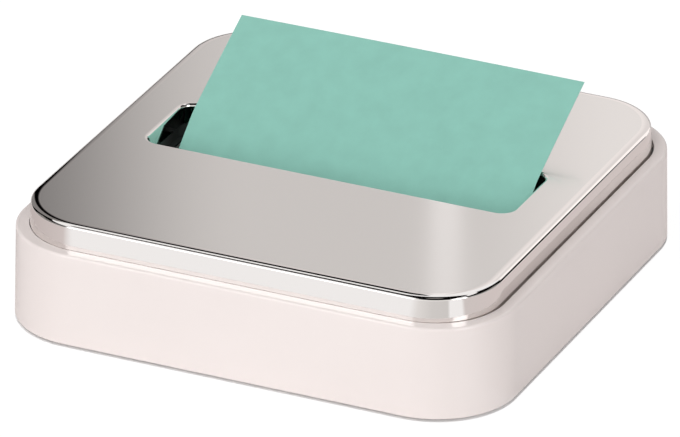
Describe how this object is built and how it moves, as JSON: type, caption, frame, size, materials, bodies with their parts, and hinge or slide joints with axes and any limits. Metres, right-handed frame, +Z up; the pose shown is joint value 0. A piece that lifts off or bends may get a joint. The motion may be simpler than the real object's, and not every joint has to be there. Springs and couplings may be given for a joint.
{
  "type": "pop-up sticky note holder",
  "caption": "Low square weighted desk holder for pop-up sticky notes: moulded base with a note well, lift-off polished steel lid with a slot, and a note leaning out of it.",
  "frame": {"origin": "on the desk, under the middle of the base", "axes": "+Z up, +Y to the back, where the note leans, +X to the right seen from the front"},
  "size_m": [0.1076, 0.1076, 0.0369],
  "materials": {
    "white_abs": "satin moulded white with a faint warm tint",
    "black_abs": "satin moulded black",
    "polished_steel": "polished skirt, finely satin top",
    "plain_steel": "mill finish",
    "zinc_steel": "zinc plated",
    "foot_rubber": "matt",
    "note_paper": "uncoated coloured paper, faintly mottled"
  },
  "bodies": {
    "base": {"base_shell": "white_abs", "bottom_plate": "white_abs", "ballast_plate": "plain_steel", "bottom_screws": "zinc_steel", "foot_front_left": "foot_rubber", "foot_front_right": "foot_rubber", "foot_rear_left": "foot_rubber", "foot_rear_right": "foot_rubber", "note_pad": "note_paper", "next_note": "note_paper"},
    "lid": {"steel_top": "polished_steel", "lid_carrier": "black_abs"},
    "note": {"popped_note": "note_paper"}
  },
  "joints": [
    {"name": "lid_lift", "type": "slide", "parent": "base", "child": "lid", "axis": [0, 0, 1], "range_m": [0, 0.06]},
    {"name": "note_pull", "type": "slide", "parent": "lid", "child": "note", "axis": [0, 0.8829, 0.4695], "range_m": [0, 0.053], "deforming": ["popped_note"]}
  ]
}
